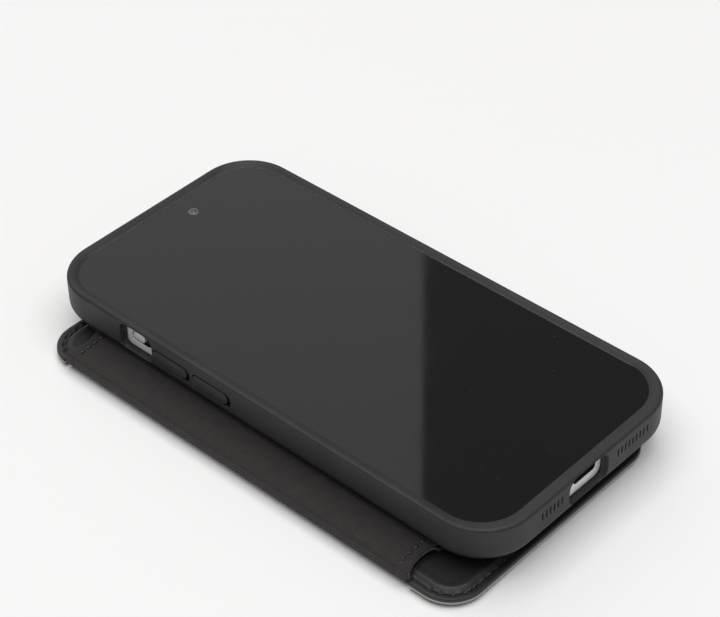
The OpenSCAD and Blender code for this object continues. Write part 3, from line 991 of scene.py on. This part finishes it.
def make_cover_skin():
    """Padded leather of the cover, with a turned edge."""
    under = node_box("cover_core")[1][2]
    edge_round, turn_in = 0.42, 0.08
    needle_holes = []
    for x, y, a in stitch_places():
        for end in (-0.5, 0.5):
            needle_holes.append((x + end * STITCH_PITCH * math.cos(a),
                                 y + end * STITCH_PITCH * math.sin(a)))
    rings = [at_height(cover_outline(inset), under) for inset in (0.5, turn_in)]
    for s, c in quarter_turn(6)[:-1]:
        rings.append(at_height(cover_outline(turn_in + (edge_round - turn_in) * c),
                               LEATHER_FACE - edge_round * s))
    insets = [edge_round, 0.7, 1.1, 1.5, 1.75, 1.95, 2.1, 2.2, 2.3, 2.45, 2.65, 2.9, 3.2, 3.5, 3.8,
              4.1, 4.4, 4.7, 5.0, 5.4, 5.8, 6.3, 6.9, 7.6, 8.6, 10, 13, 18, 26, 34]
    for inset in insets:
        ring = []
        for x, y in cover_outline(inset):
            z = LEATHER_FACE + skin_height(x, y, inset)
            if 1.2 < inset < 3.3:
                z -= dimples(x, y, needle_holes)
            ring.append((x, y, z))
        rings.append(ring)
    skin = make_object("cover_skin", loft(rings), [LEATHER])
    cut(skin, fold_cutter(0, 6))
    place(skin, "cover", "outer_leather", "cover_leather")


def make_cover_stitches():
    stitches = []
    for x, y, a in stitch_places():
        slant = a + 0.07
        along = (math.cos(slant), math.sin(slant), 0)
        side = (-math.sin(slant), math.cos(slant), 0)
        stitches.append(stitch_mesh((x, y, LEATHER_FACE - 0.2), along, side, (0, 0, 1), 2.0,
                                    0.62))
    place(make_object("cover_stitches", joined(*stitches), [THREAD]),
          "cover", "thread", "cover_stitching")


def cover_ply(inset, low, high, edge):
    """Flat ply of the cover with a slightly rounded edge."""
    return rounded_slab(COVER_W - 2 * inset, COVER_L - 2 * inset, COVER_R - inset, low, high,
                        edge, edge, COVER_CENTRE, steps=4, arc=20, sides=8, ends=6)


def fold_cutter(low, high):
    """Room for the fold in the plies of the cover."""
    width, past_pivot = 10, 0.75
    outline = rounded_outline(width, 2 * SPINE_ROOM, 0.05,
                              (PIVOT_C[0] + past_pivot - width / 2, 0), arc=2)
    return loft([at_height(outline, z) for z in (low, high)])


def magnet_cutters():
    low, high = node_box("cover_magnets")
    x = middle(low, high)[0]
    w, l = high[0] - low[0] + 0.2, MAGNET_L + 0.2
    return [loft([at_height(rounded_outline(w, l, 0.7, (x, y), arc=4), z)
                  for z in (low[2] - 1, high[2])]) for y in MAGNET_YS]


def make_cover_plies():
    low, high = node_box("cover_core")
    core = make_object("cover_stiffener", cover_ply(0.02, low[2], high[2], 0.1), [CORE])
    cut(core, joined(fold_cutter(low[2] - 1, high[2] + 1), *magnet_cutters()))
    place(core, "cover", "edge_core", "cover_core")
    low, high = node_box("cover_lining")
    lining = make_object("cover_lining_sheet", cover_ply(0.45, low[2], high[2], 0.12), [LINING])
    cut(lining, fold_cutter(low[2] - 1, high[2] + 1))
    place(lining, "cover", "pocket_lining", "cover_lining")


def make_pocket(name, node, inset):
    """One card pocket. Its mouth has a turned hem, hollowed a little for a thumb."""
    low, high = node_box(node)
    right = COVER_HIGH[0] - inset
    bottom, top = COVER_LOW[1] + inset, COVER_HIGH[1] - inset
    hollow, hem, steps = 1.6, 0.9, 48
    middle_y = (bottom + top) / 2
    mouth = []
    for i in range(steps + 1):
        y = top - (top - bottom) * i / steps
        dip = hollow * blend_step(18 - abs(y - middle_y), 0, 10)
        mouth.append((low[0] + dip, y))
    corner = COVER_R - inset
    edge = [(right - corner + corner * math.cos(a), bottom + corner + corner * math.sin(a))
            for a in (math.radians(-90 + 90 * i / 16) for i in range(17))]
    edge += [(right - corner + corner * math.cos(a), top - corner + corner * math.sin(a))
             for a in (math.radians(90 * i / 16) for i in range(17))]
    outline = mouth + edge
    centre = ((low[0] + right) / 2, middle_y)

    def shrunk(amount):
        w, l = right - low[0], top - bottom
        return [(centre[0] + (x - centre[0]) * (1 - 2 * amount / w),
                 centre[1] + (y - centre[1]) * (1 - 2 * amount / l)) for x, y in outline]

    t = high[2] - low[2]
    rings = [at_height(shrunk(hem + 0.3), low[2] + 0.09), at_height(shrunk(hem), low[2]),
             at_height(shrunk(0.1), low[2]), at_height(shrunk(0.0), low[2] + t * 0.4),
             at_height(shrunk(0.0), high[2] - t * 0.3), at_height(shrunk(0.08), high[2])]
    pocket = make_object(name, loft(rings), [LINING])
    place(pocket, "cover", "pocket_lining", node)


make_cover_skin()
make_cover_stitches()
make_cover_plies()
make_pocket("rear_card_pocket", "pocket_back", 0.8)
make_pocket("middle_card_pocket", "pocket_middle", 0.95)
make_pocket("front_card_pocket", "pocket_front", 1.1)


# ---- Phone ----

PHONE_LOW, PHONE_HIGH = node_box("phone_frame")
PORT_Z = middle(PHONE_LOW, PHONE_HIGH)[2]


def darken(obj, low, high):
    """Gives the second material to the faces whose middles lie in a box."""
    for face in obj.data.polygons:
        if all(a < c / MM < b for a, c, b in zip(low, face.center, high)):
            face.material_index = 1


def make_band():
    """Metal band of the phone, with its port, speaker holes and switch slot."""
    w, l, _ = extent(PHONE_LOW, PHONE_HIGH)
    glass = node_box("phone_front_glass")
    back = node_box("phone_back_glass")
    inset = PHONE_HIGH[0] - glass[1][0]
    edge, turns = 0.6, quarter_turn(6)
    profile = [(inset, back[1][2]), (inset, PHONE_LOW[2])]
    profile += [(edge * s, PHONE_LOW[2] + edge * c) for s, c in turns[1:]]
    profile += [(edge * c, PHONE_HIGH[2] - edge * s) for s, c in turns[:-1]]
    profile += [(inset, PHONE_HIGH[2]), (inset, glass[0][2])]
    rings = [at_height(rounded_outline(w - 2 * k, l - 2 * k, PHONE_R - k, arc=20, sides=8,
                                       ends=6), z) for k, z in profile]
    band = make_object("phone_band", loft(rings), [BAND_METAL, PLASTIC])
    socket_z = middle(*node_box("phone_port"))[2]
    cutters = [wall_hole(hole_outline(8.5, 2.4, 1.15), 0.12, 6,
                         bottom_wall(0, socket_z, "phone_frame")),
               wall_hole(hole_outline(7, 2.8, 1.3), 0.12, 0.8,
                         left_wall(SWITCH_Y, PORT_Z, "phone_frame"))]
    speaker_hole, first_x, pitch = hole_outline(1.6, 1.6, 0.79), 9.5, 2.4
    for side in (-1, 1):
        for i in range(5):
            cutters.append(wall_hole(speaker_hole, 0.1, 1.5, bottom_wall(
                side * (first_x + i * pitch), PORT_Z, "phone_frame")))
    cut(band, joined(*cutters))
    left, bottom, _ = PHONE_LOW
    skin = 0.16
    # Painted shade: the walls and floors inside the port, the speaker holes and the switch slot
    # get the black plastic, so these shallow holes look dark as if they were deep.
    darken(band, (-21, bottom + skin, socket_z - 2.1), (21, bottom + 7, socket_z + 1.1))
    darken(band, (left + skin, 37, PORT_Z - 1.5), (left + 1.5, 45.5, PORT_Z + 1.5))
    place(band, "phone", "phone_metal", "phone_frame")


def make_glass():
    """Front glass with a rolled edge, and its holes for the camera and the earpiece."""
    low, high = node_box("phone_front_glass")
    w, l, _ = extent(low, high)
    slab = rounded_slab(w - 0.04, l - 0.04, PHONE_R - 0.62, low[2] + 0.01, high[2], 0.02, 0.3,
                        arc=24, sides=8, ends=6)
    glass = make_object("front_glass", slab, [GLASS])
    a, b = node_box("phone_front_camera")
    r = (b[0] - a[0]) / 2 + 0.02
    round_hole = turned_profile(middle(a, b), [(r, a[2] - 1), (r, b[2] + 1)])
    a, b = node_box("phone_earpiece")
    slit = rounded_outline(b[0] - a[0] + 0.06, b[1] - a[1] + 0.06, 0.2, middle(a, b)[:2], arc=6)
    cut(glass, joined(round_hole, loft([at_height(slit, z) for z in (a[2] - 1, b[2] + 1)])))
    place(glass, "phone", "phone_glass", "phone_front_glass")


def make_front_camera():
    """Small lens under the glass: a dark ring round a dark dome."""
    low, high = node_box("phone_front_camera")
    centre = middle(low, high)
    r = (high[0] - low[0]) / 2
    top = high[2]
    ring = turned_profile(centre, [(r, low[2]), (r, top - 0.08), (r - 0.12, top - 0.03),
                                   (r - 0.8, top - 0.06), (r - 0.9, top - 0.22)])
    place(make_object("front_camera_ring", ring, [DARK_RING]), "phone", "phone_metal")
    dome = turned_profile(centre, [(0.68, top - 0.3), (0.66, top - 0.16), (0.5, top - 0.08),
                                   (0.3, top - 0.04), (0.08, top - 0.03)])
    lens = make_object("front_camera_lens", dome, [LENS])
    place(lens, "phone", "phone_lens", "phone_front_camera")


def make_rear_camera():
    """Raised glass plateau with two lenses in metal rings."""
    low, high = node_box("phone_camera_plateau")
    w, l, _ = extent(low, high)
    plateau = rounded_slab(w, l, CAMERA_R - 1, low[2], high[2], 0.6, 0.02,
                           middle(low, high)[:2], arc=14)
    place(make_object("camera_plateau", plateau, [BACK_GLASS]),
          "phone", "phone_glass", "phone_camera_plateau")
    low, high = node_box("phone_camera_lenses")
    r = (high[0] - low[0]) / 2
    x = middle(low, high)[0]
    tip = low[2]
    rings, domes = [], []
    for y in (low[1] + r, high[1] - r):
        rings.append(turned_profile((x, y), [
            (r - 1.5, high[2]), (r, high[2]), (r, tip + 0.35), (r - 0.12, tip + 0.1),
            (r - 0.4, tip), (r - 0.8, tip + 0.02), (r - 1.0, tip + 0.25), (r - 1.1, tip + 0.7)],
            64))
        domes.append(turned_profile((x, y), [
            (r - 1.02, high[2] - 0.3), (r - 1.02, tip + 0.42), (r - 1.8, tip + 0.3),
            (r - 3.2, tip + 0.24), (r - 5.8, tip + 0.22)], 64))
    place(make_object("camera_lens_rings", joined(*rings), [BAND_METAL]),
          "phone", "phone_metal", "phone_camera_lenses")
    place(make_object("camera_lens_glass", joined(*domes), [LENS]), "phone", "phone_lens")


def make_mute_switch():
    """Sliding switch with a slim raised bar."""
    low, high = node_box("phone_mute_switch")
    depth, w, h = extent(low, high)
    _, cy, cz = middle(low, high)
    pad = rounded_slab(w, h, h / 2 - 0.1, 0, depth, 0.05, 0.2, arc=8)
    bar = rounded_slab(w * 0.55, 0.5, 0.24, 0.4, depth + 0.12, 0.02, 0.1, arc=5)
    switch = joined(*(turned(m, lambda u, v, d: (high[0] - d, cy + u, cz + v))
                      for m in (pad, bar)))
    place(make_object("mute_switch", switch, [BAND_METAL]),
          "phone", "phone_metal", "phone_mute_switch")


make_band()
make_glass()
make_front_camera()
make_rear_camera()
make_mute_switch()


# ---- CAD nodes that stay ----

KEPT_NODES = {
    "shell_magnets": (MAGNET, "magnet"),
    "cover_magnets": (MAGNET, "magnet"),
    "back_adhesive": (ADHESIVE, "adhesive"),
    "back_board": (BOARD, "stiff_board"),
    "back_steel_sheet": (STEEL, "steel"),
    "phone_back_glass": (BACK_GLASS, "phone_glass"),
    "phone_earpiece": (PLASTIC, "phone_dark"),
    "phone_port": (PLASTIC, "phone_dark"),
    "phone_flash": (FLASH, "phone_flash"),
}


def finish_kept_nodes():
    for name, (material, slot) in KEPT_NODES.items():
        node = frame["nodes"][name]
        node.data.materials.clear()
        node.data.materials.append(material)


finish_kept_nodes()


# ---- Studio ----

def make_floor():
    size = 3000
    finish = Finish("pale_floor", (0.93, 0.925, 0.92), 0.6, Specular_IOR_Level=0.2)
    finish.tint(finish.spread(finish.noise(400, 2), 0.3, 0.7), (0.935, 0.935, 0.935))
    floor = make_object("floor", ([(-size, -size, 0), (size, -size, 0), (size, size, 0),
                                   (-size, size, 0)], [(0, 1, 2, 3)]), [finish.material])
    floor.location.z = -0.00002


def area_light(name, place_mm, towards_mm, width, height, radiance):
    """Soft panel. radiance is how bright its face looks, with 1 for white."""
    data = bpy.data.lights.new(name, "AREA")
    data.shape, data.size, data.size_y = "RECTANGLE", width * MM, height * MM
    data.energy = radiance * math.pi * width * MM * height * MM
    light = bpy.data.objects.new(name, data)
    bpy.context.scene.collection.objects.link(light)
    start, end = Vector(place_mm) * MM, Vector(towards_mm) * MM
    light.location = start
    light.rotation_euler = (end - start).to_track_quat("-Z", "Y").to_euler()
    light.visible_camera = False


def make_lights():
    """A tall panel far behind, whose right edge shows in the glass, and one overhead."""
    edge_direction = Vector((0.7583, 0.6519, 0))
    camera_ground = Vector((-311, -290, 0))
    edge = camera_ground + edge_direction * 1900
    along = Vector((-edge_direction.y, edge_direction.x, 0))
    width, height = 2600, 2400
    centre = edge + along * width / 2 + Vector((0, 0, height / 2 + 150))
    facing = centre - edge_direction * 100
    area_light("back_panel_light", centre, facing, width, height, 0.63)
    area_light("overhead_light", (-80, -180, 1700), (-80, -180, 0), 2200, 2200, 2.12)
    world = bpy.data.worlds.new("studio")
    world.use_nodes = True
    background = world.node_tree.nodes["Background"]
    background.inputs["Color"].default_value = (1.0, 0.98, 0.97, 1)
    background.inputs["Strength"].default_value = 0.22
    bpy.context.scene.world = world
    bpy.context.scene.view_settings.view_transform = "Standard"


make_floor()
make_lights()

bpy.context.view_layer.update()
